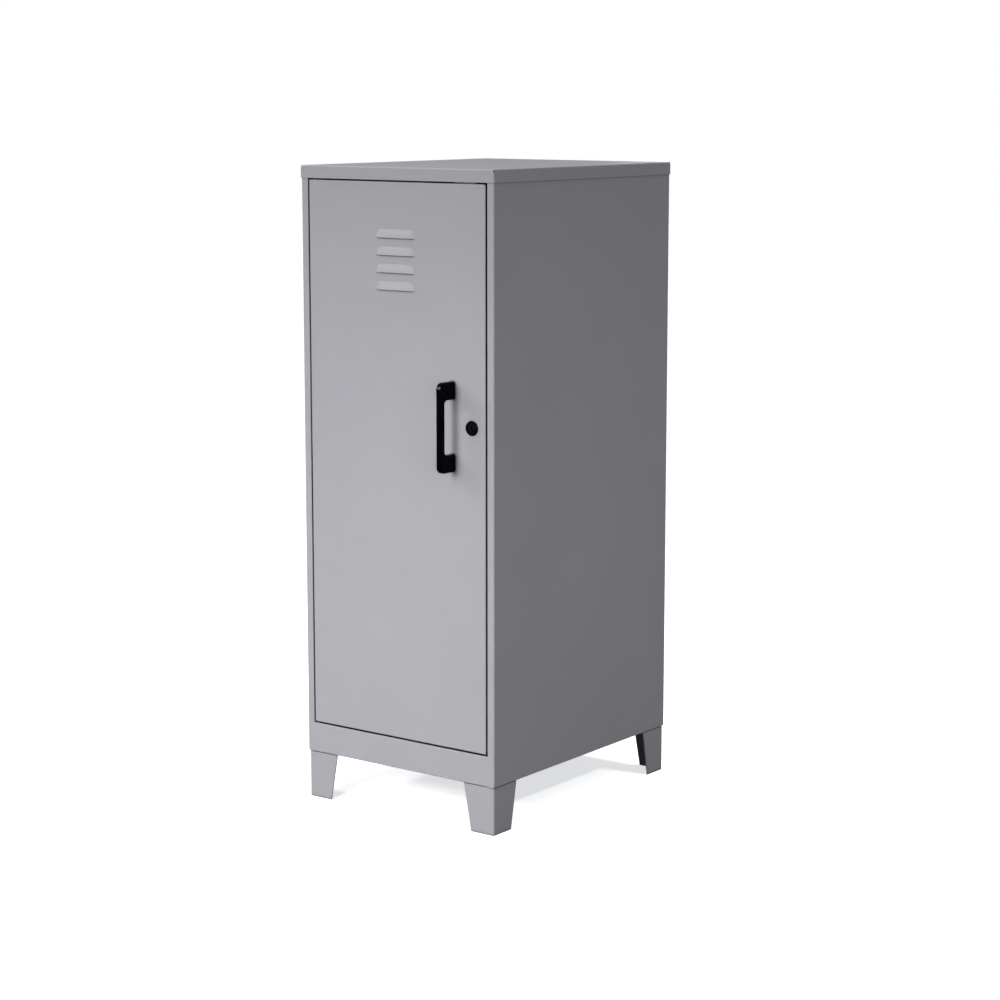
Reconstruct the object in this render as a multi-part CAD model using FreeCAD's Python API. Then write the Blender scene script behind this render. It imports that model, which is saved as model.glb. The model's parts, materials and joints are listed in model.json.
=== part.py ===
import FreeCAD, Part
import os
import math

# Free-standing steel locker with one inset door, left-hung, on four legs.
# Millimetres. +Z up, +X to the right seen from the front, the front faces -Y.
# Origin: centre of the overall footprint (handle included), on the floor.

V = FreeCAD.Vector

# ------------------------------------------------------------ driving sizes
BODY_W = 361.95          # outer width of the folded body
BODY_D = 457.2           # outer depth of the folded body
TOTAL_H = 977.9          # floor to the top of the cap
LEG_H = 73.2             # floor to the underside of the body
SHEET = 0.8              # body, door and cap sheet
LEG_T = 2.0              # leg plate

CAP_PROUD = 1.0          # cap lip outside the body faces
CAP_LIP_Z = 959.0        # lower edge of the cap lip
CORNER_R = 2.0           # outer bend radius of the body corners
FOLD_R = 1.5             # outer radius of the side panels' bottom fold

HANDLE_S = 33.6          # handle stand-off from the door face
HANDLE_W = 9.5           # handle width across the bar
HANDLE_L = 132.8         # handle length
HANDLE_T = 9.3           # thickness of the grip
HANDLE_FOOT = 26.3       # height of each handle foot
HANDLE_X = 105.85        # handle centre
HANDLE_Z = 605.1
HANDLE_PITCH = 106.5     # screw centres

OVERALL_D = BODY_D + HANDLE_S + CAP_PROUD
YF = -OVERALL_D / 2 + HANDLE_S      # front plane of the body and of the closed door
YB = YF + BODY_D                    # rear plane of the body
HX = BODY_W / 2

OPEN_L, OPEN_R = -168.3, 168.5      # door opening between the stiles
OPEN_B = 119.3                      # top of the bottom rail
DOOR_L, DOOR_R = -166.0, 165.6      # door edges
DOOR_B, DOOR_T = 121.8, 956.7
DOOR_D = 16.0                       # door pan depth
DOOR_LIP = 12.0                     # rear lips of the door pan

AX_X, AX_Y = DOOR_L + 9.0, YF + 5.5  # hinge axis
PIN_R = 2.5
BUSH_CLEAR = 0.05
BUSH_R = 4.0

STOP_Y = YF + 17.2                  # front face of the stop lip on the right stile
STOP_LIP = 10.0

LOCK_X, LOCK_Z = 141.3, 605.2
BEZEL_R = 11.0
BEZEL_T = 2.0
BARREL_R = 9.0
PLUG_R = 6.0
PLUG_CLEAR = 0.06
CAM_LEN = 24.0

LOUVRE_W = 74.0
LOUVRE_H = 12.4
LOUVRE_P = 2.7                      # how far the hood stands out
LOUVRE_CHEEK = 6.0                  # run of the sloping ends
LOUVRE_TAPER = 5.0                  # each end comes in this far from the lip to the top
LOUVRE_SLOT = 0.8                   # the cut in the sheet starts this far below the lip
LOUVRE_X = (DOOR_L + DOOR_R) / 2
LOUVRE_BOTTOMS = (874.8, 849.3, 823.8, 798.3)

LEG_INSET = 1.5
LEG_TOP = 56.0                      # flange width at the top
LEG_BOT = 42.5                      # flange width on the floor
LEG_PLATE = 54.0                    # top plate of each leg
LEG_FOLD_R = 2.4                    # rounding along its outer top edges

SHELF_Z = (396.0, 671.0)            # top faces of the two shelves
SHELF_H = 18.0
STD_W, STD_D = 20.0, 4.0            # shelf standards
STD_PITCH = 25.0
STD_Y = (YF + 62.0, YB - 46.0)


# ------------------------------------------------------------ helpers
def box(x0, x1, y0, y1, z0, z1):
    return Part.makeBox(x1 - x0, y1 - y0, z1 - z0, V(x0, y0, z0))


def cyl(r, p0, p1):
    a, b = V(*p0), V(*p1)
    return Part.makeCylinder(r, (b - a).Length, a, b - a)


def unit(a, b):
    d = math.hypot(b[0] - a[0], b[1] - a[1])
    return ((b[0] - a[0]) / d, (b[1] - a[1]) / d)


def rounded(points, radii, closed):
    """Line and arc pieces of a polyline whose corners are rounded."""
    n = len(points)
    out, last = [], None
    idx = range(n) if closed else range(1, n - 1)
    corner = {}
    for i in idx:
        p, a, b = points[i], points[i - 1], points[(i + 1) % n]
        u, w = unit(p, a), unit(p, b)
        r = radii[i]
        dot = max(-1.0, min(1.0, u[0] * w[0] + u[1] * w[1]))
        ang = math.acos(dot)
        if r <= 0 or abs(ang - math.pi) < 1e-6:
            corner[i] = (p, None, p)
            continue
        t = r / math.tan(ang / 2)
        s = (p[0] + u[0] * t, p[1] + u[1] * t)
        e = (p[0] + w[0] * t, p[1] + w[1] * t)
        h = (u[0] + w[0], u[1] + w[1])
        hl = math.hypot(*h)
        c = (p[0] + h[0] / hl * r / math.sin(ang / 2), p[1] + h[1] / hl * r / math.sin(ang / 2))
        m = (c[0] - h[0] / hl * r, c[1] - h[1] / hl * r)
        corner[i] = (s, m, e)
    if not closed:
        corner[0] = (points[0], None, points[0])
        corner[n - 1] = (points[-1], None, points[-1])
    order = list(range(n)) + ([0] if closed else [])
    for k, i in enumerate(order):
        s, m, e = corner[i]
        if last is not None and math.hypot(s[0] - last[0], s[1] - last[1]) > 1e-7:
            out.append(("L", last, s))
        if closed and k == len(order) - 1:
            break
        if m is not None:
            out.append(("A", s, m, e))
        last = e
    return out


def edges_of(pieces, to3d):
    es = []
    for p in pieces:
        q = [to3d(*c) for c in p[1:]]
        if p[0] == "L":
            es.append(Part.LineSegment(q[0], q[1]).toShape())
        else:
            es.append(Part.Arc(q[0], q[1], q[2]).toShape())
    return es


def prism(points, radii, to3d, along):
    if not isinstance(radii, (list, tuple)):
        radii = [radii] * len(points)
    es = edges_of(rounded(points, radii, True), to3d)
    return Part.Face(Part.Wire(Part.__sortEdges__(es))).extrude(V(*along))


def folded(points, t, bends, side, to3d, along):
    """A folded sheet. points is one skin of the section, and the sheet lies on
    its left (side 1) or right (side -1). bends are the inner radii."""
    n = len(points)
    off = []
    for i in range(n):
        if i == 0 or i == n - 1:
            u = unit(points[0], points[1]) if i == 0 else unit(points[-2], points[-1])
            off.append((points[i][0] - u[1] * t * side, points[i][1] + u[0] * t * side))
        else:
            u, w = unit(points[i - 1], points[i]), unit(points[i], points[i + 1])
            nx, ny = -(u[1] + w[1]), u[0] + w[0]
            k = 1 + u[0] * w[0] + u[1] * w[1]
            off.append((points[i][0] + nx * t * side / k, points[i][1] + ny * t * side / k))
    ra, rb = [0] * n, [0] * n
    for i in range(1, n - 1):
        u, w = unit(points[i - 1], points[i]), unit(points[i], points[i + 1])
        turn = (u[0] * w[1] - u[1] * w[0]) * side
        r = bends[i - 1] if isinstance(bends, (list, tuple)) else bends
        ra[i], rb[i] = (r + t, r) if turn > 0 else (r, r + t)
    a = rounded(points, ra, False)
    b = rounded(off[::-1], rb[::-1], False)
    es = edges_of(a, to3d) + [Part.LineSegment(to3d(*points[-1]), to3d(*off[-1])).toShape()]
    es += edges_of(b, to3d) + [Part.LineSegment(to3d(*off[0]), to3d(*points[0])).toShape()]
    return Part.Face(Part.Wire(Part.__sortEdges__(es))).extrude(V(*along))


def xy(z):
    return lambda u, v: V(u, v, z)


def yz(x):
    return lambda u, v: V(x, u, v)


def xz(y):
    return lambda u, v: V(u, y, v)


def near(e, x=None, y=None, z=None, tol=0.02):
    """True if an edge lies wholly at the given coordinates."""
    b = e.BoundBox
    for lo, hi, c in ((b.XMin, b.XMax, x), (b.YMin, b.YMax, y), (b.ZMin, b.ZMax, z)):
        if c is not None and (abs(lo - c) > tol or abs(hi - c) > tol):
            return False
    return True


def fillet(shape, r, pick):
    es = [e for e in shape.Edges if pick(e)]
    if not es:
        raise RuntimeError("no edge to round")
    return shape.makeFillet(r, es)


def save(name, shape):
    if isinstance(shape, (list, tuple)):
        shape = Part.makeCompound(list(shape))
    solids = shape.Solids
    if not solids or not shape.isValid():
        raise RuntimeError("bad shape: " + name)
    shape = solids[0] if len(solids) == 1 else Part.makeCompound(solids)
    shape.exportStep("parts/%s.step" % name)
    b = shape.BoundBox
    print("%-26s solids %2d  x %8.2f %8.2f  y %8.2f %8.2f  z %8.2f %8.2f  vol %9.0f" % (
        name, len(solids), b.XMin, b.XMax, b.YMin, b.YMax, b.ZMin, b.ZMax, shape.Volume))


def hexagon(af, p, axis_y, h):
    """Hex prism of across-flats af. axis_y: along +Y, otherwise along +Z."""
    pts = [(af / math.sqrt(3) * math.cos(math.radians(60 * k + 30)),
            af / math.sqrt(3) * math.sin(math.radians(60 * k + 30))) for k in range(6)]
    if axis_y:
        return prism([(p[0] + a, p[2] + b) for a, b in pts], 0, xz(p[1]), (0, h, 0))
    return prism([(p[0] + a, p[1] + b) for a, b in pts], 0, xy(p[2]), (0, 0, h))


# ------------------------------------------------------------ cabinet body
def side_panel(sign):
    top = TOTAL_H - SHEET
    r = CORNER_R - SHEET
    if sign > 0:
        lip = [(OPEN_R - STOP_LIP, STOP_Y), (OPEN_R, STOP_Y)]
        skin = [(OPEN_R, YF), (HX, YF), (HX, YB), (HX - 15.0, YB)]
        bends = [0.6, 0.5]
        x0, x1 = HX - 25.0, HX - SHEET / 2
    else:
        lip = [(OPEN_L, YF + 16.0)]
        skin = [(OPEN_L, YF), (-HX, YF), (-HX, YB), (-HX + 15.0, YB)]
        bends = [0.5]
        x0, x1 = -HX + SHEET / 2, -HX + 25.0
    # the return along the opening stops level with the bottom rail and the header
    s = folded(lip + skin, SHEET, bends + [r, r], sign, xy(OPEN_B), (0, 0, CAP_LIP_Z - OPEN_B))
    for a, b in ((LEG_H, OPEN_B), (CAP_LIP_Z, top)):
        s = s.fuse(folded(skin, SHEET, [r, r], sign, xy(a), (0, 0, b - a)))
    s = s.removeSplitter()
    # bottom flange, folded inwards under the base panel
    fl = box(x0, x1, YF + 1.4, YB - 1.4, LEG_H, LEG_H + SHEET)
    for cx, cy in BOLTS:
        if cx * sign > 0:
            fl = fl.cut(cyl(3.2, (cx, cy, LEG_H - 1), (cx, cy, LEG_H + 3)))
    s = s.fuse(fl).removeSplitter()
    # outer radius of the bottom fold
    r = FOLD_R
    xa, xb = sorted((sign * HX + sign, sign * (HX - r)))
    bar = box(xa, xb, YF - 1, YB + 1, LEG_H - 1, LEG_H + r).cut(
        cyl(r, (sign * (HX - r), YF - 2, LEG_H + r), (sign * (HX - r), YB + 2, LEG_H + r)))
    s = s.cut(bar)
    # relief notches where the corner bends meet
    for y in (YF, YB):
        s = s.cut(Part.makeSphere(1.8, V(sign * HX, y, LEG_H)))
    return s


LEG_SIGNS = (("front_left", -1, -1), ("front_right", 1, -1), ("rear_left", -1, 1), ("rear_right", 1, 1))


def corner(sx, sy, a, b):
    """A point a mm in from the side face and b mm in from the front or rear face."""
    return (sx * (HX - a), YF + b if sy < 0 else YB - b)


BOLTS = []
for _n, _sx, _sy in LEG_SIGNS:
    for _a, _b in ((19.0, 19.0), (19.0, 43.0), (43.0, 19.0)):
        BOLTS.append(corner(_sx, _sy, _a, _b))


def build():
    os.makedirs("parts", exist_ok=True)
    top = TOTAL_H - SHEET

    save("left_side_panel", side_panel(-1))
    save("right_side_panel", side_panel(1))

    # back panel, inside the rear flanges of the side panels, with two stiffening swages
    back = box(-HX + SHEET + 1.4, HX - SHEET - 1.4, YB - 2 * SHEET, YB - SHEET, LEG_H + 2 * SHEET, top)
    for z in (360.0, 690.0):
        rib = prism([(-150, z - 9), (150, z - 9), (150, z + 9), (-150, z + 9)], 8.9, xz(YB - 2 * SHEET - 2.4), (0, 2.4 + SHEET, 0))
        rib_in = prism([(-149.2, z - 8.2), (149.2, z - 8.2), (149.2, z + 8.2), (-149.2, z + 8.2)], 8.1, xz(YB - 2 * SHEET - 1.6), (0, 4.0, 0))
        back = back.fuse(rib).cut(rib_in)
    save("back_panel", back.removeSplitter())

    # cap: a shallow lid over the body
    ox, oy0, oy1 = HX + CAP_PROUD, YF - CAP_PROUD, YB + CAP_PROUD
    cap = box(-ox, ox, oy0, oy1, CAP_LIP_Z, TOTAL_H)
    cap = fillet(cap, 1.6, lambda e: near(e, z=TOTAL_H) or e.BoundBox.ZLength > 5)
    inn = box(-ox + SHEET, ox - SHEET, oy0 + SHEET, oy1 - SHEET, CAP_LIP_Z - 5, top)
    inn = fillet(inn, 0.8, lambda e: e.BoundBox.ZLength > 5)
    cap = cap.cut(inn)
    # small relief holes where the folds of the lid meet
    for sx in (-1, 1):
        for y in (oy0, oy1):
            cap = cap.cut(Part.makeSphere(1.5, V(sx * (ox - 0.25), y + (0.25 if y < 0 else -0.25), TOTAL_H - 2.4)))
    save("top_cap", cap)

    # header channel behind the cap lip
    head = folded([(YF, top), (YF, CAP_LIP_Z), (YF + 40, CAP_LIP_Z), (YF + 40, top)],
                  SHEET, 0.5, 1, yz(OPEN_L), (OPEN_R - OPEN_L, 0, 0))
    head = head.cut(cyl(PIN_R, (AX_X, AX_Y, CAP_LIP_Z - 1), (AX_X, AX_Y, CAP_LIP_Z + 2)))
    for x in (CATCH_X - 14, CATCH_X + 14):
        head = head.cut(cyl(1.6, (x, CATCH_Y, CAP_LIP_Z - 1), (x, CATCH_Y, CAP_LIP_Z + 2)))
    save("header_rail", head)

    # bottom rail: front web, top flange, bottom flange
    rail = folded([(YF + 25, LEG_H), (YF, LEG_H), (YF, OPEN_B), (YF + 29, OPEN_B)],
                  SHEET, [0.7, 0.5], -1, yz(OPEN_L), (OPEN_R - OPEN_L, 0, 0))
    for a, b in ((OPEN_L - 1, -HX + 25.0), (HX - 25.0, OPEN_R + 1)):
        rail = rail.cut(box(a, b, YF + 1.4, YF + 30, LEG_H - 1, LEG_H + 2))
    rail = rail.cut(cyl(PIN_R, (AX_X, AX_Y, OPEN_B - 3), (AX_X, AX_Y, OPEN_B + 1)))
    for cx, cy in BOLTS:
        if cy < 0 and abs(cx) < HX - 30:
            rail = rail.cut(cyl(3.2, (cx, cy, LEG_H - 1), (cx, cy, LEG_H + 3)))
    save("bottom_rail", rail)

    # base panel: flat, on the bottom flanges
    base = box(-HX + SHEET + 0.1, HX - SHEET - 0.1, YF + 1.6, YB - 2 * SHEET, LEG_H + SHEET, LEG_H + 2 * SHEET)
    base = fillet(base, 2.0, lambda e: e.BoundBox.ZLength > 0.5)
    for cx, cy in BOLTS:
        base = base.cut(cyl(3.2, (cx, cy, LEG_H - 1), (cx, cy, LEG_H + 5)))
    save("base_panel", base)

    # floor panel inside, level with the bottom rail's flange
    fz = OPEN_B - SHEET
    fx = HX - SHEET - 0.1
    floor = folded([(-fx, fz - 16), (-fx, fz), (fx, fz), (fx, fz - 16)], SHEET, 0.8, -1,
                   lambda u, v: V(u, YF + 18.4, v), (0, YB - 2 * SHEET - YF - 18.4, 0))
    floor = floor.fuse(box(-fx + 2, fx - 2, YB - 3 * SHEET, YB - 2 * SHEET, fz - 16, fz - 0.2)).removeSplitter()
    save("floor_panel", floor)

    # legs
    for name, sx, sy in LEG_SIGNS:
        save("leg_" + name, leg(sx, sy))
    heads, nuts = [], []
    for cx, cy in BOLTS:
        z = LEG_H - LEG_T
        b = cyl(5.2, (cx, cy, z - 3.4), (cx, cy, z)).fuse(cyl(3.0, (cx, cy, z - 0.1), (cx, cy, LEG_H + 2 * SHEET + 7.5)))
        b = fillet(b, 1.2, lambda e: near(e, z=z - 3.4))
        b = b.cut(hexagon(4.0, (cx, cy, z - 3.5), False, 2.2))
        heads.append(b.removeSplitter())
        n = hexagon(10.0, (cx, cy, LEG_H + 2 * SHEET), False, 5.0).cut(
            cyl(3.05, (cx, cy, LEG_H), (cx, cy, LEG_H + 12)))
        nuts.append(n)
    save("leg_bolts", heads)
    save("leg_nuts", nuts)

    # shelf standards, shelves, clips
    z0, z1 = OPEN_B + 8.0, 940.0
    for tag, sx in (("left", -1), ("right", 1)):
        for pos, yc in zip(("front", "rear"), STD_Y):
            wall = sx * (HX - SHEET)
            face = wall - sx * STD_D
            pts = [(wall, yc - STD_W / 2), (face, yc - STD_W / 2), (face, yc + STD_W / 2), (wall, yc + STD_W / 2)]
            s = folded(pts, 0.9, 0.5, -sx, xy(z0), (0, 0, z1 - z0))
            cuts = []
            z = z0 + 14.7
            while z < z1 - 12:
                cuts.append(box(face - 2, face + 2, yc - 1.6, yc + 1.6, z, z + 12))
                z += STD_PITCH
            s = s.cut(Part.makeCompound(cuts))
            save("standard_%s_%s" % (pos, tag), s)
    for name, zt in zip(("lower_shelf", "upper_shelf"), SHELF_Z):
        x, y0, y1 = HX - SHEET - STD_D - 0.6, YF + 34.0, YB - 6.5
        s = box(-x, x, y0, y1, zt - SHELF_H, zt)
        s = fillet(s, 1.4, lambda e: near(e, z=zt) or e.BoundBox.ZLength > 5)
        s = s.cut(box(-x + SHEET, x - SHEET, y0 + SHEET, y1 - SHEET, zt - SHELF_H + SHEET, zt - SHEET))
        s = s.cut(box(-x + 12, x - 12, y0 + 12, y1 - 12, zt - SHELF_H - 1, zt - SHELF_H + 2))
        save(name, s)
    clips = []
    for zt in SHELF_Z:
        for sx in (-1, 1):
            for yc in STD_Y:
                face = sx * (HX - SHEET - STD_D)
                zb = zt - SHELF_H
                pts = [(face + sx * 1.9, zb - 10.5), (face + sx * 1.9, zb - 7.0), (face - sx * 0.1, zb - 7.0),
                       (face - sx * 0.1, zb - 10.5), (face - sx * 1.5, zb - 10.5), (face - sx * 1.5, zb - 1.6),
                       (face - sx * 12.5, zb - 1.6), (face - sx * 12.5, zb), (face - sx * 0.1, zb),
                       (face - sx * 0.1, zb - 3.5), (face + sx * 1.9, zb - 3.5), (face + sx * 1.9, zb - 2.4),
                       (face + sx * 2.9, zb - 2.4), (face + sx * 2.9, zb - 10.5)]
                clips.append(prism(pts, 0, xz(yc - 1.4), (0, 2.8, 0)).fuse(
                    box(min(face - sx * 12.5, face - sx * 0.1), max(face - sx * 12.5, face - sx * 0.1),
                        yc - 7, yc + 7, zb - 1.6, zb)).removeSplitter())
    save("shelf_clips", clips)

    # frame side of the hinge
    def bracket(za, zb):
        b = box(OPEN_L + 0.4, OPEN_L + 40, YF + 1.4, YF + 16, za, zb)
        b = fillet(b, 4.0, lambda e: e.BoundBox.ZLength > 1 and e.BoundBox.XMin > OPEN_L + 20)
        return b.cut(cyl(PIN_R, (AX_X, AX_Y, za - 1), (AX_X, AX_Y, zb + 1)))

    hz = CAP_LIP_Z + SHEET
    save("hinge_bracket_top", bracket(hz, hz + 2.0))
    save("hinge_bracket_bottom", bracket(OPEN_B - SHEET - 2.0, OPEN_B - SHEET))
    pin = cyl(PIN_R, (AX_X, AX_Y, DOOR_T - 11.5), (AX_X, AX_Y, hz + 2.0))
    pin = fillet(pin, 0.6, lambda e: near(e, z=DOOR_T - 11.5))
    pin = pin.fuse(cyl(4.4, (AX_X, AX_Y, hz + 2.0), (AX_X, AX_Y, hz + 3.8))).removeSplitter()
    save("hinge_pin_top", pin)
    pin = cyl(PIN_R, (AX_X, AX_Y, OPEN_B - SHEET - 2.0), (AX_X, AX_Y, DOOR_B + 12.5))
    pin = fillet(pin, 0.6, lambda e: near(e, z=DOOR_B + 12.5))
    pin = pin.fuse(cyl(4.4, (AX_X, AX_Y, OPEN_B - SHEET - 3.8), (AX_X, AX_Y, OPEN_B - SHEET - 2.0))).removeSplitter()
    save("hinge_pin_bottom", pin)
    save("hinge_washer", cyl(5.0, (AX_X, AX_Y, OPEN_B), (AX_X, AX_Y, OPEN_B + 1.4)).cut(
        cyl(PIN_R + 0.1, (AX_X, AX_Y, OPEN_B - 1), (AX_X, AX_Y, OPEN_B + 3))))

    # magnetic catch under the header
    cy0, cy1 = YF + DOOR_D + 0.8, YF + DOOR_D + 18.0
    cz0, cz1 = CAP_LIP_Z - 13.0, CAP_LIP_Z
    house = box(CATCH_X - 20, CATCH_X + 20, cy0, cy1, cz1 - 3.0, cz1)
    house = fillet(house, 3.0, lambda e: e.BoundBox.ZLength > 2)
    house = house.fuse(box(CATCH_X - 10, CATCH_X + 10, cy0, cy1 - 1, cz0, cz1 - 2.9)).removeSplitter()
    house = house.cut(box(CATCH_X - 8.2, CATCH_X + 8.2, cy0 - 1, cy1 - 3, cz0 + 1.6, cz1 - 3.2))
    for x in (CATCH_X - 14, CATCH_X + 14):
        house = house.cut(cyl(1.8, (x, CATCH_Y, cz0 - 1), (x, CATCH_Y, cz1 + 1)))
    save("catch_housing", house)
    save("catch_magnet", box(CATCH_X - 8.1, CATCH_X + 8.1, cy0 + 0.6, cy1 - 3.1, cz0 + 3.0, cz1 - 4.6))
    save("catch_pole_plates", [
        box(CATCH_X - 8.1, CATCH_X + 8.1, cy0 - 0.5, cy1 - 3.1, cz0 + 1.7, cz0 + 2.95),
        box(CATCH_X - 8.1, CATCH_X + 8.1, cy0 - 0.5, cy1 - 3.1, cz1 - 4.55, cz1 - 3.3)])
    screws = []
    for x in (CATCH_X - 14, CATCH_X + 14):
        s = cyl(3.0, (x, CATCH_Y, cz1 - 5.0), (x, CATCH_Y, cz1 - 3.0)).fuse(
            cyl(1.5, (x, CATCH_Y, cz1 - 3.1), (x, CATCH_Y, cz1 + 4.5)))
        s = fillet(s, 0.9, lambda e: near(e, z=cz1 - 5.0))
        s = s.cut(box(x - 2.2, x + 2.2, CATCH_Y - 0.35, CATCH_Y + 0.35, cz1 - 5.1, cz1 - 4.1))
        s = s.cut(box(x - 0.35, x + 0.35, CATCH_Y - 2.2, CATCH_Y + 2.2, cz1 - 5.1, cz1 - 4.1))
        screws.append(s.removeSplitter())
    save("catch_screws", screws)
    bumpers = []
    for z in (190.0, 520.0, 900.0):
        b = cyl(4.0, (OPEN_R - 5.2, STOP_Y, z), (OPEN_R - 5.2, STOP_Y - 0.85, z))
        bumpers.append(fillet(b, 0.35, lambda e: near(e, y=STOP_Y - 0.85)))
    save("door_bumpers", bumpers)

    # ---------------------------------------------------------- door
    save("door_panel", door())
    dx0, dx1 = 46.0, 90.0
    hat = folded([(dx0, YF + SHEET), (dx0 + 10, YF + SHEET), (dx0 + 12, YF + 13.5), (dx1 - 12, YF + 13.5),
                  (dx1 - 10, YF + SHEET), (dx1, YF + SHEET)], SHEET, 0.8, 1, xy(DOOR_B + 16), (0, 0, DOOR_T - DOOR_B - 32))
    save("door_stiffener", hat)

    def plate(zt, up):
        x0 = DOOR_L + SHEET
        p = box(x0, x0 + 34, YF + SHEET + 0.4, YF + DOOR_D - SHEET - 0.2, zt, zt + 2.0)
        t = box(x0, x0 + 2.0, YF + SHEET + 0.4, YF + DOOR_D - SHEET - 0.2, zt + (1 if up else -24), zt + (26 if up else 1))
        p = p.fuse(t).removeSplitter()
        p = fillet(p, 1.9, lambda e: near(e, x=x0, z=zt + (0 if up else 2.0)))
        return p.cut(cyl(BUSH_R, (AX_X, AX_Y, zt - 1), (AX_X, AX_Y, zt + 3)))

    save("door_hinge_plate_top", plate(DOOR_T - SHEET - 2.0, False))
    save("door_hinge_plate_bottom", plate(DOOR_B + SHEET, True))
    b = cyl(BUSH_R, (AX_X, AX_Y, DOOR_T - 7), (AX_X, AX_Y, DOOR_T)).fuse(
        cyl(5.0, (AX_X, AX_Y, DOOR_T), (AX_X, AX_Y, DOOR_T + 0.8)))
    save("hinge_bush_top", b.cut(cyl(PIN_R + BUSH_CLEAR, (AX_X, AX_Y, DOOR_T - 20), (AX_X, AX_Y, DOOR_T + 20))).removeSplitter())
    b = cyl(BUSH_R, (AX_X, AX_Y, DOOR_B), (AX_X, AX_Y, DOOR_B + 7)).fuse(
        cyl(5.0, (AX_X, AX_Y, DOOR_B - 0.8), (AX_X, AX_Y, DOOR_B)))
    save("hinge_bush_bottom", b.cut(cyl(PIN_R + BUSH_CLEAR, (AX_X, AX_Y, DOOR_B - 20), (AX_X, AX_Y, DOOR_B + 20))).removeSplitter())

    save("handle", handle())
    screws = []
    for z in (HANDLE_Z - HANDLE_PITCH / 2, HANDLE_Z + HANDLE_PITCH / 2):
        y = YF + SHEET
        s = cyl(5.5, (HANDLE_X, y, z), (HANDLE_X, y + 1.0, z))
        s = s.fuse(cyl(3.8, (HANDLE_X, y + 0.9, z), (HANDLE_X, y + 3.6, z)))
        s = fillet(s, 1.1, lambda e: near(e, y=y + 3.6))
        s = s.fuse(cyl(2.0, (HANDLE_X, YF - 14, z), (HANDLE_X, y + 1, z)))
        s = s.cut(box(HANDLE_X - 2.4, HANDLE_X + 2.4, y + 2.2, y + 4, z - 0.45, z + 0.45))
        s = s.cut(box(HANDLE_X - 0.45, HANDLE_X + 0.45, y + 2.2, y + 4, z - 2.4, z + 2.4))
        screws.append(s.removeSplitter())
    save("handle_screws", screws)

    # lock: fixed housing and nut, turning plug with its cam
    c = lambda r, a, b: cyl(r, (LOCK_X, YF + a, LOCK_Z), (LOCK_X, YF + b, LOCK_Z))
    h = c(BEZEL_R, -BEZEL_T, 0)
    h = fillet(h, 1.0, lambda e: near(e, y=YF - BEZEL_T))
    h = h.fuse(c(BARREL_R, -0.1, 17.9)).removeSplitter()
    h = h.cut(c(7.6, -BEZEL_T - 1, -BEZEL_T + 0.5))
    h = h.cut(c(PLUG_R + PLUG_CLEAR, -5, 30))
    for s in (-1, 1):
        h = h.cut(box(LOCK_X + s * 8.0 if s > 0 else LOCK_X - 12, LOCK_X + 12 if s > 0 else LOCK_X - 8.0,
                      YF + 0.001, YF + 20, LOCK_Z - 12, LOCK_Z + 12))
    save("lock_housing", h)
    n = hexagon(23.0, (LOCK_X, YF + SHEET, LOCK_Z), True, 4.5)
    save("lock_nut", n.cut(c(BARREL_R + 0.05, -5, 30)))
    p = c(PLUG_R, -1.7, 18.2)
    p = fillet(p, 0.4, lambda e: near(e, y=YF - 1.7))
    boss = prism([(LOCK_X - 3.5, LOCK_Z - 3.5), (LOCK_X + 3.5, LOCK_Z - 3.5), (LOCK_X + 3.5, LOCK_Z + 3.5), (LOCK_X - 3.5, LOCK_Z + 3.5)],
                 0.8, xz(YF + 18.0), (0, 2.3, 0))
    p = p.fuse(boss).fuse(c(2.5, 20.0, 24.5)).removeSplitter()
    p = p.cut(prism([(LOCK_X - 1.0, LOCK_Z - 3.6), (LOCK_X + 1.0, LOCK_Z - 3.6), (LOCK_X + 1.0, LOCK_Z + 3.6), (LOCK_X - 1.0, LOCK_Z + 3.6)],
                    0.5, xz(YF - 3), (0, 16.5, 0)))
    slots, wafers = [], []
    for k in range(5):
        y = YF + 1.6 + 2.2 * k
        slots.append(box(LOCK_X - 2.6, LOCK_X + 2.6, y, y + 1.1, LOCK_Z - 5.2, LOCK_Z + 5.2))
        w = box(LOCK_X - 2.5, LOCK_X + 2.5, y + 0.05, y + 1.05, LOCK_Z - 5.1, LOCK_Z + 5.1)
        wafers.append(w.cut(box(LOCK_X - 1.2, LOCK_X + 1.2, y - 1, y + 2, LOCK_Z - 3.0, LOCK_Z + 2.6 - 0.3 * (k % 3))))
    save("lock_plug", p.cut(Part.makeCompound(slots)))
    save("lock_wafers", wafers)
    cam = prism([(LOCK_X - 6.5, LOCK_Z + 6.5), (LOCK_X - 6.5, LOCK_Z - CAM_LEN), (LOCK_X + 6.5, LOCK_Z - CAM_LEN), (LOCK_X + 6.5, LOCK_Z + 6.5)],
                [6.4, 3.0, 3.0, 6.4], xz(YF + 18.3), (0, 2.0, 0))
    save("lock_cam", cam.cut(prism([(LOCK_X - 3.6, LOCK_Z - 3.6), (LOCK_X + 3.6, LOCK_Z - 3.6), (LOCK_X + 3.6, LOCK_Z + 3.6), (LOCK_X - 3.6, LOCK_Z + 3.6)],
                                   0.8, xz(YF + 17), (0, 5, 0))))
    n = hexagon(8.0, (LOCK_X, YF + 20.4, LOCK_Z), True, 3.2)
    save("cam_nut", n.cut(c(2.55, 15, 30)))


CATCH_X = 116.0
CATCH_Y = YF + 25.0


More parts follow.
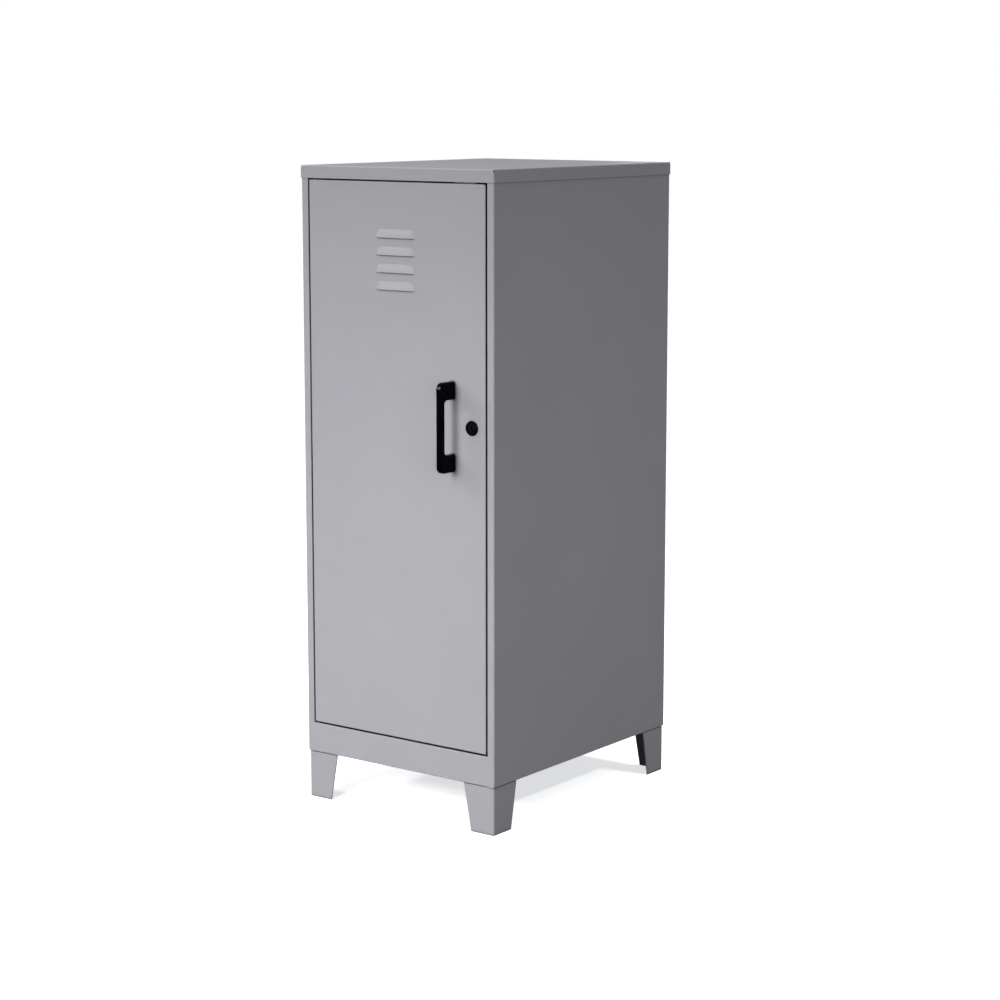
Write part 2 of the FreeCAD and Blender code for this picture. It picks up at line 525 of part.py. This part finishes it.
def leg(sx, sy):
    """Bent angle, both flanges tapering to the floor, with a top plate."""
    cx, cy = corner(sx, sy, LEG_INSET, LEG_INSET)
    pts = [(cx - sx * LEG_TOP, cy), (cx, cy), (cx, cy - sy * LEG_TOP)]
    # heading along the first flange, the sheet lies on the inner side
    side = 1 if (sx * -sy) > 0 else -1
    s = folded(pts, LEG_T, 0.8, side, xy(0), (0, 0, LEG_H))
    d = LEG_TOP - LEG_BOT
    x0, y0 = cx - sx * LEG_TOP, cy - sy * LEG_TOP
    wx = prism([(x0 - sx * 5, LEG_H), (x0, LEG_H), (x0 + sx * d, 0), (x0 + sx * d, -5), (x0 - sx * 5, -5)], 0,
               xz(min(cy - sy * 10, cy + sy * 10)), (0, 20, 0))
    wy = prism([(y0 - sy * 5, LEG_H), (y0, LEG_H), (y0 + sy * d, 0), (y0 + sy * d, -5), (y0 - sy * 5, -5)], 0,
               yz(min(cx - sx * 10, cx + sx * 10)), (20, 0, 0))
    s = s.cut(wx).cut(wy)
    a = LEG_T + 0.05
    px = [cx - sx * 0.6, cx - sx * LEG_PLATE]
    py = [cy - sy * 0.6, cy - sy * LEG_PLATE]
    q = [(px[0], py[0]), (px[1], py[0]), (px[1], py[0] - sy * 22), (px[0] - sx * 22, py[1]), (px[0], py[1])]
    plate = prism(q, [2.0, 3.0, 6.0, 6.0, 3.0], xy(LEG_H - LEG_T), (0, 0, LEG_T))
    for bx, by in BOLTS:
        if bx * sx > 0 and (by - (YF + YB) / 2) * sy > 0:
            plate = plate.cut(cyl(3.2, (bx, by, LEG_H - 5), (bx, by, LEG_H + 5)))
    s = s.fuse(plate).removeSplitter()
    # the top edges are folded over into the plate
    s = fillet(s, LEG_FOLD_R, lambda e: e.BoundBox.ZMin > LEG_H - 0.01 and e.Length > 30 and
               (near(e, x=cx) or near(e, y=cy)))
    return s


def louvre(zb, skin):
    """Hood of one louvre: a low domed wedge, open below. skin > 0 gives the room under its sheet."""
    w = LOUVRE_W / 2 - skin
    zt = zb + LOUVRE_H - skin
    p = LOUVRE_P - skin
    e = 1.5
    z0 = zb - (3.0 if skin else 0.0)
    # section: nearly upright at the lip, leaning back more and more towards the top
    rise, lean = zt - zb, math.radians(19.0)
    ch = math.hypot(rise, p)
    m = ((2 * YF - p) / 2 - rise / ch * 0.36, (zb + zt) / 2 - p / ch * -0.36)
    es = [Part.Arc(V(0, YF - p, zb), V(0, m[0], m[1]), V(0, YF, zt)).toShape()]
    run = [(YF, zt), (YF + e, zt + e / math.tan(lean)), (YF + e, z0), (YF - p, z0), (YF - p, zb)]
    es += [Part.LineSegment(V(0, *run[i]), V(0, *run[i + 1])).toShape() for i in range(4) if run[i] != run[i + 1]
           and math.hypot(run[i][0] - run[i + 1][0], run[i][1] - run[i + 1][1]) > 1e-6]
    h = Part.Face(Part.Wire(Part.__sortEdges__(es))).extrude(V(2 * w + 20, 0, 0))
    h.translate(V(LOUVRE_X - w - 10, 0, 0))
    # both ends lean in as well, and come closer together towards the top
    k = LOUVRE_CHEEK / LOUVRE_P
    t = LOUVRE_TAPER / LOUVRE_H
    z1, run_z = z0 - 5, LOUVRE_H + 30
    wb = w + (zb - z1) * t
    for s in (-1, 1):
        plan = [(LOUVRE_X + s * (wb + e * k), YF + e), (LOUVRE_X + s * (wb - (p + 1) * k), YF - p - 1),
                (LOUVRE_X - s * (w + 20), YF - p - 1), (LOUVRE_X - s * (w + 20), YF + e)]
        h = h.common(prism(plan, 0, xy(z1), (-s * t * run_z, 0, run_z)))
    ends = [d for d in h.Edges if d.BoundBox.ZLength > 6 and d.BoundBox.YLength > 1.0 and d.BoundBox.XLength > 0.3]
    h = h.makeFillet(12.0 if not skin else 11.2, ends)
    # rounded upper corners, and only what stands on the sheet
    wt = w - LOUVRE_TAPER
    front = prism([(LOUVRE_X - w, z0 - 1), (LOUVRE_X + w, z0 - 1), (LOUVRE_X + w, zb), (LOUVRE_X + wt, zt),
                   (LOUVRE_X - wt, zt), (LOUVRE_X - w, zb)],
                  [0, 0, 0, 6.5, 6.5, 0], xz(YF - p - 2), (0, p + 2 + (1.2 if skin else 0.4), 0))
    return h.common(front)


def door():
    y1 = YF + DOOR_D
    d = box(DOOR_L, DOOR_R, YF, y1, DOOR_B, DOOR_T)
    d = fillet(d, 2.6, lambda e: e.BoundBox.YLength > 5 and near(e, z=DOOR_T))
    d = fillet(d, 1.2, lambda e: near(e, y=YF))
    cav = box(DOOR_L + SHEET, DOOR_R - SHEET, YF + SHEET, y1 - SHEET, DOOR_B + SHEET, DOOR_T - SHEET)
    cav = fillet(cav, 1.8, lambda e: e.BoundBox.YLength > 5 and near(e, z=DOOR_T - SHEET))
    mouth = box(DOOR_L + DOOR_LIP, DOOR_R - DOOR_LIP, y1 - 3, y1 + 1, DOOR_B + DOOR_LIP, DOOR_T - DOOR_LIP)
    d = d.cut(cav).cut(mouth)
    hoods, holes = [], []
    for zb in LOUVRE_BOTTOMS:
        hoods.append(louvre(zb, 0.0))
        holes.append(louvre(zb, SHEET))
    d = d.fuse(hoods)
    # each hood is open inside and downwards, through the sheet
    for zb, hole in zip(LOUVRE_BOTTOMS, holes):
        keep = box(LOUVRE_X - LOUVRE_W, LOUVRE_X + LOUVRE_W, YF - 9, YF + 6, zb - 6, zb - LOUVRE_SLOT)
        d = d.cut(hole.cut(keep))
    for z in (DOOR_T, DOOR_B):
        d = d.cut(cyl(BUSH_R, (AX_X, AX_Y, z - 2), (AX_X, AX_Y, z + 2)))
    for z in (HANDLE_Z - HANDLE_PITCH / 2, HANDLE_Z + HANDLE_PITCH / 2):
        d = d.cut(cyl(2.2, (HANDLE_X, YF - 1, z), (HANDLE_X, YF + 2, z)))
    d = d.cut(cyl(BARREL_R + 0.1, (LOCK_X, YF - 1, LOCK_Z), (LOCK_X, YF + 2, LOCK_Z)))
    return d.removeSplitter()


def handle():
    """D-shaped pull: two solid feet joined by a grip, soft edges."""
    z0, z1 = HANDLE_Z - HANDLE_L / 2, HANDLE_Z + HANDLE_L / 2
    yo = YF - HANDLE_S
    outer = [(YF, z0), (YF, z1), (yo, z1), (yo, z0)]
    s = prism(outer, [2.2, 2.2, 9.5, 9.5], yz(HANDLE_X - HANDLE_W / 2), (HANDLE_W, 0, 0))
    inner = [(YF + 1, z0 + HANDLE_FOOT), (YF + 1, z1 - HANDLE_FOOT), (yo + HANDLE_T, z1 - HANDLE_FOOT), (yo + HANDLE_T, z0 + HANDLE_FOOT)]
    s = s.cut(prism(inner, [0, 0, 6.0, 6.0], yz(HANDLE_X - HANDLE_W), (2 * HANDLE_W, 0, 0)))
    s = fillet(s, 1.4, lambda e: near(e, y=YF, z=z0 + HANDLE_FOOT) or near(e, y=YF, z=z1 - HANDLE_FOOT))
    s = fillet(s, 1.7, lambda e: (near(e, x=HANDLE_X - HANDLE_W / 2) or near(e, x=HANDLE_X + HANDLE_W / 2)) and not near(e, y=YF))
    for z in (HANDLE_Z - HANDLE_PITCH / 2, HANDLE_Z + HANDLE_PITCH / 2):
        s = s.cut(cyl(2.05, (HANDLE_X, YF - 15, z), (HANDLE_X, YF + 1, z)))
    return s


build()
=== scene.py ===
import json
import math

import bpy
import bmesh
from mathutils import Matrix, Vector

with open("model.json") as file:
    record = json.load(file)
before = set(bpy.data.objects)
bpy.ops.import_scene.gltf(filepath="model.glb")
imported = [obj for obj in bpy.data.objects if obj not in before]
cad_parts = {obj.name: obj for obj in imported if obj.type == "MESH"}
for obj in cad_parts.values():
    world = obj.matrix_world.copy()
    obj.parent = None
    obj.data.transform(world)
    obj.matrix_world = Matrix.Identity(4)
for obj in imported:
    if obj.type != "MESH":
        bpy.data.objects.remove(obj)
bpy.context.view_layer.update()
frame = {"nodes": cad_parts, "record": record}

N = frame["nodes"]
SC = bpy.context.scene

# key places of the object, in metres, in the row frame
YF = -0.2123           # front plane of the body and of the closed door
YB = 0.2449            # rear plane
HX = 0.180975          # half width
TOP = 0.9779
LEG_H = 0.0732

# ------------------------------------------------------------------ camera
FIT = dict(f=2.44785, yaw=0.64260, pitch=0.15787, loc=(2.27784, -2.99896, 1.08859), shift=-0.02)


def make_camera():
    cam_data = bpy.data.cameras.new("camera")
    cam = bpy.data.objects.new("camera", cam_data)
    SC.collection.objects.link(cam)
    cam_data.sensor_width = 36.0
    cam_data.lens = 36.0 * FIT["f"]
    cam_data.shift_y = FIT["shift"]
    cam_data.clip_start, cam_data.clip_end = 0.05, 60.0
    cam.location = FIT["loc"]
    y, p = FIT["yaw"], FIT["pitch"]
    look = Vector((-math.sin(y) * math.cos(p), math.cos(y) * math.cos(p), -math.sin(p)))
    cam.rotation_mode = "QUATERNION"
    cam.rotation_quaternion = look.to_track_quat("-Z", "Y")
    SC.camera = cam
    return cam


make_camera()


# --------------------------------------------------------------- materials
def new_mat(name):
    m = bpy.data.materials.new(name)
    m.use_nodes = True
    nt = m.node_tree
    nt.nodes.clear()
    out = nt.nodes.new("ShaderNodeOutputMaterial")
    b = nt.nodes.new("ShaderNodeBsdfPrincipled")
    nt.links.new(b.outputs[0], out.inputs[0])
    return m, nt, b


def noise(nt, co, scale, detail=2.0, rough=0.5, stretch=None):
    n = nt.nodes.new("ShaderNodeTexNoise")
    n.inputs["Scale"].default_value = scale
    n.inputs["Detail"].default_value = detail
    n.inputs["Roughness"].default_value = rough
    if stretch:
        mp = nt.nodes.new("ShaderNodeMapping")
        mp.inputs["Scale"].default_value = stretch
        nt.links.new(co, mp.inputs["Vector"])
        co = mp.outputs["Vector"]
    nt.links.new(co, n.inputs["Vector"])
    return n.outputs["Fac"]


def coords(nt):
    return nt.nodes.new("ShaderNodeTexCoord").outputs["Object"]


def spread(nt, fac, lo, hi, f0=0.3, f1=0.7):
    r = nt.nodes.new("ShaderNodeMapRange")
    r.inputs["From Min"].default_value = f0
    r.inputs["From Max"].default_value = f1
    r.inputs["To Min"].default_value = lo
    r.inputs["To Max"].default_value = hi
    nt.links.new(fac, r.inputs["Value"])
    return r.outputs["Result"]


def tint(nt, fac, dark, light, f0=0.3, f1=0.7):
    r = nt.nodes.new("ShaderNodeValToRGB")
    r.color_ramp.elements[0].position = f0
    r.color_ramp.elements[0].color = (*dark, 1)
    r.color_ramp.elements[1].position = f1
    r.color_ramp.elements[1].color = (*light, 1)
    nt.links.new(fac, r.inputs["Fac"])
    return r.outputs["Color"]


def add(nt, a, b, wa=1.0, wb=1.0):
    m = nt.nodes.new("ShaderNodeMath")
    m.operation = "MULTIPLY"
    m.inputs[1].default_value = wa
    nt.links.new(a, m.inputs[0])
    k = nt.nodes.new("ShaderNodeMath")
    k.operation = "MULTIPLY_ADD"
    k.inputs[1].default_value = wb
    nt.links.new(b, k.inputs[0])
    nt.links.new(m.outputs[0], k.inputs[2])
    return k.outputs[0]


def bump(nt, height, b, strength, distance, below=None):
    n = nt.nodes.new("ShaderNodeBump")
    n.inputs["Strength"].default_value = strength
    n.inputs["Distance"].default_value = distance
    nt.links.new(height, n.inputs["Height"])
    if below is not None:
        nt.links.new(below, n.inputs["Normal"])
    nt.links.new(n.outputs["Normal"], b.inputs["Normal"])
    return n.outputs["Normal"]


def scaled(c, k):
    return tuple(min(1.0, x * k) for x in c)


def painted_crevice_shade(nt, colour, open_at, reach=0.006):
    """Painted shade: darkens a colour to near black where ambient occlusion finds the surface deep in a seam, gap
    or fold, in place of the shade that falls there.
    """
    ao = nt.nodes.new("ShaderNodeAmbientOcclusion")
    ao.samples = 8
    ao.inputs["Distance"].default_value = reach
    depth = spread(nt, ao.outputs["AO"], 0.0, 1.0, 0.40, open_at)
    mx = nt.nodes.new("ShaderNodeMix")
    mx.data_type = "RGBA"
    # near-black colour of the painted shade
    [i for i in mx.inputs if i.name == "A" and i.type == "RGBA"][0].default_value = (0.004, 0.004, 0.0045, 1)
    nt.links.new(depth, mx.inputs[0])
    nt.links.new(colour, [i for i in mx.inputs if i.name == "B" and i.type == "RGBA"][0])
    return [o for o in mx.outputs if o.type == "RGBA"][0]


def powder(name, rgb, rough=0.46, peel=1.0, spec=0.5, open_at=0.90):
    """Powder coat: faint cloudiness over the panel, orange peel of about a
    millimetre, and a finer grain on top of it. Seams and gaps get painted
    shade in the base colour."""
    m, nt, b = new_mat(name)
    co = coords(nt)
    cloud = noise(nt, co, 7.0, 3.0, 0.55)
    grain = noise(nt, co, 1900.0, 2.0, 0.6)
    mix = add(nt, cloud, grain, 0.5, 0.5)
    coat = tint(nt, mix, scaled(rgb, 0.972), scaled(rgb, 1.028), 0.36, 0.64)
    # painted shade: the coat colour goes near black deep in seams and gaps
    nt.links.new(painted_crevice_shade(nt, coat, open_at), b.inputs["Base Color"])
    patch = noise(nt, co, 26.0, 4.0, 0.6)
    nt.links.new(spread(nt, add(nt, patch, grain, 0.5, 0.5), rough - 0.035, rough + 0.035), b.inputs["Roughness"])
    b.inputs["Specular IOR Level"].default_value = spec
    peel_h = noise(nt, co, 620.0, 1.5, 0.45)
    fine_h = noise(nt, co, 2400.0, 2.0, 0.5)
    bump(nt, add(nt, peel_h, fine_h, 0.75, 0.25), b, 0.30 * peel, 0.00012)
    return m


def plastic(name, rgb, rough, grain_scale=1500.0, strength=0.25, spec=0.5):
    m, nt, b = new_mat(name)
    co = coords(nt)
    soft = noise(nt, co, 60.0, 3.0, 0.6)
    nt.links.new(tint(nt, soft, scaled(rgb, 0.85), scaled(rgb, 1.2)), b.inputs["Base Color"])
    nt.links.new(spread(nt, add(nt, soft, noise(nt, co, 400.0, 2.0, 0.5), 0.5, 0.5), rough - 0.05, rough + 0.06), b.inputs["Roughness"])
    b.inputs["Specular IOR Level"].default_value = spec
    h = noise(nt, co, grain_scale, 2.0, 0.55)
    bump(nt, h, b, strength, 0.00008)
    return m


def metal(name, rgb, rough, stretch=(1, 1, 30), scale=260.0, strength=0.2, spangle=False):
    m, nt, b = new_mat(name)
    co = coords(nt)
    brush = noise(nt, co, scale, 3.0, 0.6, stretch)
    if spangle:
        v = nt.nodes.new("ShaderNodeTexVoronoi")
        v.inputs["Scale"].default_value = 160.0
        nt.links.new(co, v.inputs["Vector"])
        base = nt.nodes.new("ShaderNodeRGBToBW")
        nt.links.new(v.outputs["Color"], base.inputs[0])
        mixv = add(nt, brush, base.outputs[0], 0.5, 0.5)
    else:
        mixv = brush
    nt.links.new(tint(nt, mixv, scaled(rgb, 0.88), scaled(rgb, 1.08)), b.inputs["Base Color"])
    nt.links.new(spread(nt, mixv, rough - 0.08, rough + 0.08), b.inputs["Roughness"])
    b.inputs["Metallic"].default_value = 1.0
    bump(nt, brush, b, strength, 0.00005)
    return m


GREY = (0.330, 0.323, 0.346)
M = {
    "body": powder("powder_body", GREY),
    # door paint: lighter painted crevice shade than the other paints
    "door": powder("powder_door", GREY, open_at=0.80),
    "leg": powder("powder_leg", scaled(GREY, 0.99)),
    "inner": powder("powder_inner", scaled(GREY, 0.97), rough=0.5),
    "handle": plastic("plastic_handle", (0.0002, 0.0002, 0.0005), 0.17, 1300.0, 0.10, 0.030),
    "lock": plastic("coat_lock", (0.0012, 0.0012, 0.0016), 0.24, 1800.0, 0.12, 0.09),
    "plug": plastic("coat_plug", (0.0020, 0.0020, 0.0026), 0.26, 1800.0, 0.15, 0.12),
    "zinc": metal("zinc_bright", (0.62, 0.63, 0.64), 0.33, (1, 1, 1), 700.0, 0.15, True),
    "zinc_strip": metal("zinc_strip", (0.56, 0.57, 0.58), 0.40, (6, 6, 0.4), 220.0, 0.12, True),
    "steel": metal("steel_blackened", (0.06, 0.06, 0.065), 0.34, (1, 1, 14), 400.0, 0.2),
    "brass": metal("brass_plain", (0.62, 0.44, 0.17), 0.3, (1, 12, 1), 500.0, 0.15),
    "nylon": plastic("nylon_grey", (0.035, 0.035, 0.038), 0.5, 900.0, 0.2),
    "catch": plastic("catch_white", (0.66, 0.66, 0.63), 0.42, 1100.0, 0.2),
    "magnet": plastic("ferrite", (0.035, 0.034, 0.036), 0.7, 2200.0, 0.5),
    "rubber": plastic("rubber_soft", (0.012, 0.012, 0.012), 0.75, 1600.0, 0.4, 0.3),
}
SLOT_MAT = {
    "body_paint": "body", "door_paint": "door", "leg_paint": "leg", "inner_paint": "inner",
    "handle_plastic": "handle", "lock_black": "lock", "lock_plug_black": "plug", "lock_metal": "zinc",
    "wafer_brass": "brass", "fixing_zinc": "zinc", "pin_steel": "steel", "nylon": "nylon",
    "catch_white": "catch", "magnet_dark": "magnet", "bumper_rubber": "rubber", "standard_zinc": "zinc_strip",
}
for sp in frame["record"]["subparts"]:
    o = N[sp["node"]]
    mat = M[SLOT_MAT[sp["material_slot"]]]
    if not o.material_slots:
        o.data.materials.append(mat)
    for s in o.material_slots:
        s.material = mat


# ------------------------------------------------------- floor, light, world
def light_group(name):
    return bpy.data.collections.new(name)


ON_SWEEP = light_group("lights_sweep")      # lamps that draw the shadow on the floor seen
ON_BOUNCE = light_group("lights_bounce")    # lamp that lights the floor the object sees
ON_OBJECT = light_group("lights_object")    # lamps for everything but the floor
ON_BLACK = light_group("lights_black")      # glints on the black parts
ON_GRIP = light_group("lights_grip")        # glint on the handle alone


def floor_plane(name, z):
    me = bpy.data.meshes.new(name)
    s = 14.0
    me.from_pydata([(-s, -s, z), (s, -s, z), (s, s, z), (-s, s, z)], [], [(0, 1, 2, 3)])
    o = bpy.data.objects.new(name, me)
    SC.collection.objects.link(o)
    m = bpy.data.materials.new(name)
    m.use_nodes = True
    m.node_tree.nodes.clear()
    me.materials.append(m)
    return o, m.node_tree


def make_floor():
    """The floor the camera sees is a bright sweep. A second, pale grey plane
    a millimetre below is what the object sees, and gives a soft bounce."""
    seen, nt = floor_plane("floor", 0.0)
    out = nt.nodes.new("ShaderNodeOutputMaterial")
    glow = nt.nodes.new("ShaderNodeEmission")
    glow.inputs["Color"].default_value = (0.984, 1.0, 1.012, 1)
    glow.inputs["Strength"].default_value = 0.69
    pale = nt.nodes.new("ShaderNodeBsdfDiffuse")
    pale.inputs["Roughness"].default_value = 0.4
    nt.links.new(tint(nt, noise(nt, coords(nt), 3.0, 3.0, 0.5), (0.795, 0.795, 0.795), (0.805, 0.805, 0.805)), pale.inputs["Color"])
    both = nt.nodes.new("ShaderNodeAddShader")
    nt.links.new(glow.outputs[0], both.inputs[0])
    nt.links.new(pale.outputs[0], both.inputs[1])
    nt.links.new(both.outputs[0], out.inputs[0])
    for ray in ("diffuse", "glossy", "transmission", "volume_scatter", "shadow"):
        setattr(seen, "visible_" + ray, False)

    under, nt = floor_plane("floor_bounce", -0.001)
    out = nt.nodes.new("ShaderNodeOutputMaterial")
    grey = nt.nodes.new("ShaderNodeBsdfDiffuse")
    grey.inputs["Roughness"].default_value = 0.5
    nt.links.new(tint(nt, noise(nt, coords(nt), 3.0, 3.0, 0.5), (0.39, 0.39, 0.39), (0.41, 0.41, 0.41)), grey.inputs["Color"])
    nt.links.new(grey.outputs[0], out.inputs[0])
    under.visible_camera = False

    ON_SWEEP.objects.link(seen)
    ON_BOUNCE.objects.link(under)
    for k, f in enumerate((seen, under)):
        ON_OBJECT.objects.link(f)
        ON_OBJECT.collection_objects[k].light_linking.link_state = "EXCLUDE"
    for n in ("handle", "lock_housing", "lock_plug"):
        ON_BLACK.objects.link(N[n])
    ON_GRIP.objects.link(N["handle"])


def lamp(o, loc, look, group):
    SC.collection.objects.link(o)
    o.location = loc
    o.rotation_mode = "QUATERNION"
    o.rotation_quaternion = Vector(look).to_track_quat("-Z", "Y")
    o.visible_camera = False
    o.light_linking.receiver_collection = group
    return o


def area(name, loc, target, size, power, colour=(1, 1, 1), size_y=None, spread=None, group=ON_OBJECT):
    d = bpy.data.lights.new(name, "AREA")
    d.shape = "RECTANGLE"
    d.size, d.size_y = size, size_y or size
    d.energy = power
    d.color = colour
    if spread:
        d.spread = math.radians(spread)
    return lamp(bpy.data.objects.new(name, d), loc, Vector(target) - Vector(loc), group)


def from_side(name, azimuth, elevation, distance, target, size, power, size_y):
    """A floor lamp at an azimuth counted from +X towards +Y."""
    a, e = math.radians(azimuth), math.radians(elevation)
    way = Vector((math.cos(a) * math.cos(e), math.sin(a) * math.cos(e), math.sin(e)))
    return area(name, Vector(target) + way * distance, target, size, power, size_y=size_y, group=ON_SWEEP)


def sun(name, direction, strength, angle, group, colour=(1, 1, 1)):
    d = bpy.data.lights.new(name, "SUN")
    d.energy, d.angle, d.color = strength, math.radians(angle), colour
    return lamp(bpy.data.objects.new(name, d), (0, 0, 4), direction, group)


make_floor()
COOL = (0.972, 0.992, 1.02)
sun("sun_bounce", (0.10, 0.16, -1.0), 1.14, 60, ON_BOUNCE, COOL)
sun("sun_sweep", (0.0, -0.15, -1.0), 1.27, 6, ON_SWEEP)
from_side("sweep_right", 5, 41.5, 1.4, (0.18, 0.1, 0.07), 0.3, 7.3, 0.05)
from_side("sweep_right_soft", 5, 56, 1.4, (0.18, 0.1, 0.07), 0.3, 4.6, 0.55)
from_side("sweep_front", -87, 27.5, 1.4, (0.0, -0.2, 0.07), 0.5, 18.8, 0.26)
from_side("sweep_left", 180, 45, 1.4, (-0.18, 0.0, 0.07), 0.55, 10.8, 0.22)
area("box_low", (-0.22, -2.2, 0.8), (0.0, -0.2, 0.0), 0.8, 4.7, size_y=0.9, spread=66)
area("box_high", (-0.3, -2.8, 2.4), (0.0, -0.2, 0.05), 1.4, 6.8, size_y=1.2, spread=66)
area("box_left", (-2.0, -1.3, 1.9), (0.0, -0.2, 0.3), 1.5, 6.1, size_y=1.5, spread=66)
area("box_top", (0.0, 0.3, 3.0), (0.0, 0.02, 0.98), 1.8, 33.6, (0.984, 1.0, 0.992), size_y=1.8)
area("fill_right", (2.6, -1.6, 0.9), (0.18, 0.0, 0.1), 1.2, 3.35, COOL, size_y=1.2, spread=66)
area("fill_low", (2.2, 0.35, 0.12), (0.2, 0.05, 0.45), 1.6, 6.0, COOL, size_y=0.5)
area("fill_back", (-0.9, 3.1, 0.8), (0.0, 0.24, 0.5), 1.6, 6.0, COOL, size_y=1.1, spread=66)
area("glint_top", (-1.04, -1.62, 1.22), (0.10, -0.24, 0.65), 0.26, 50.0, size_y=1.0, group=ON_GRIP)
area("glint_left", (-1.56, -1.21, 0.62), (0.12, -0.22, 0.60), 0.12, 12.0, size_y=0.9, group=ON_BLACK)

W = bpy.data.worlds.new("world")
SC.world = W
W.use_nodes = True
nt = W.node_tree
nt.nodes.clear()
wo = nt.nodes.new("ShaderNodeOutputWorld")
env = nt.nodes.new("ShaderNodeBackground")
env.inputs["Color"].default_value = (0.965, 0.995, 1.018, 1)
env.inputs["Strength"].default_value = 0.157
white = nt.nodes.new("ShaderNodeBackground")
white.inputs["Color"].default_value = (1, 1, 1, 1)
white.inputs["Strength"].default_value = 1.0
lp = nt.nodes.new("ShaderNodeLightPath")
mx = nt.nodes.new("ShaderNodeMixShader")
nt.links.new(lp.outputs["Is Camera Ray"], mx.inputs[0])
nt.links.new(env.outputs[0], mx.inputs[1])
nt.links.new(white.outputs[0], mx.inputs[2])
nt.links.new(mx.outputs[0], wo.inputs[0])

SC.view_settings.view_transform = "Standard"
SC.view_settings.look = "None"
